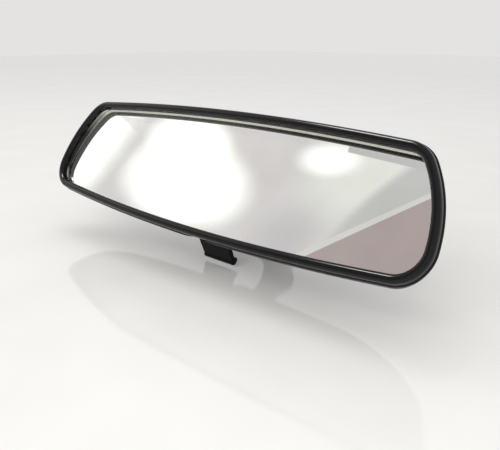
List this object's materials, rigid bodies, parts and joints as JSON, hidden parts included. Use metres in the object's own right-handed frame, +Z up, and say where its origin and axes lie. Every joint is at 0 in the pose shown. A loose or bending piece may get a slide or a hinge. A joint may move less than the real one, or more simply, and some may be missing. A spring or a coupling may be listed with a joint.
{
  "type": "interior rearview mirror",
  "caption": "Dipping prism rearview mirror: long rounded head with a glass wedge, a dip lever under it, and a ball-jointed arm on a screwed oval base.",
  "frame": {"origin": "middle of the underside of the base's gasket, on the surface the mirror stands on", "axes": "+X along the mirror's width to the viewer's right, +Z up as it stands, and the mirror faces -Y, leaning back"},
  "size_m": [0.25, 0.0863, 0.0772],
  "materials": {
    "moulded_abs": "fine moulded grain, black",
    "satin_abs": "satin black, moulded",
    "lever_abs": "matt black, moulded",
    "glass": "polished, ground edge",
    "silvering": "silvered",
    "foam": "closed-cell foam",
    "acetal": "moulded, natural",
    "steel": "zinc plated",
    "spring_steel": "rolled, oiled",
    "painted_zinc": "black powder coat on die-cast zinc",
    "rubber": "moulded"
  },
  "bodies": {
    "mount": {"base_gasket": "rubber", "base_plate": "painted_zinc", "arm": "painted_zinc", "arm_screw": "steel", "spring_washer": "spring_steel", "ball_stud": "steel"},
    "liner": {"socket_liner": "acetal"},
    "cup": {"pressure_cup": "acetal"},
    "carrier": {"socket_carrier": "moulded_abs", "disc_spring": "spring_steel", "spring_retainer": "steel", "retainer_screws": "steel", "hinge_pin": "steel"},
    "head": {"rear_housing": "moulded_abs", "bezel": "satin_abs", "prism_glass": "glass", "silver_layer": "silvering", "glass_pads": "foam", "lever_pin": "steel", "detent_spring": "spring_steel", "spring_rivets": "steel"},
    "lever": {"dip_lever": "lever_abs", "crank_pin": "steel"}
  },
  "joints": [
    {"name": "head_turn", "type": "hinge", "parent": "mount", "child": "liner", "pos_m": [0, -0.03195, 0.03973], "axis": [0, 0.5, 0.866], "range_deg": [-18, 18]},
    {"name": "head_nod", "type": "hinge", "parent": "liner", "child": "cup", "pos_m": [0, -0.03195, 0.03973], "axis": [1, 0, 0], "range_deg": [-15, 15]},
    {"name": "head_spin", "type": "hinge", "parent": "cup", "child": "carrier", "pos_m": [0, -0.03195, 0.03973], "axis": [0, -0.866, 0.5], "continuous": true},
    {"name": "dip", "type": "hinge", "parent": "carrier", "child": "head", "pos_m": [0, -0.03311, 0.05772], "axis": [-1, 0, 0], "range_deg": [0, 5]},
    {"name": "lever_flip", "type": "hinge", "parent": "head", "child": "lever", "pos_m": [0, -0.05267, 0.02283], "axis": [-1, 0, 0], "range_deg": [0, 45]}
  ],
  "couplings": [
    {"joint": "lever_flip", "follows": "dip", "ratio": 9}
  ]
}
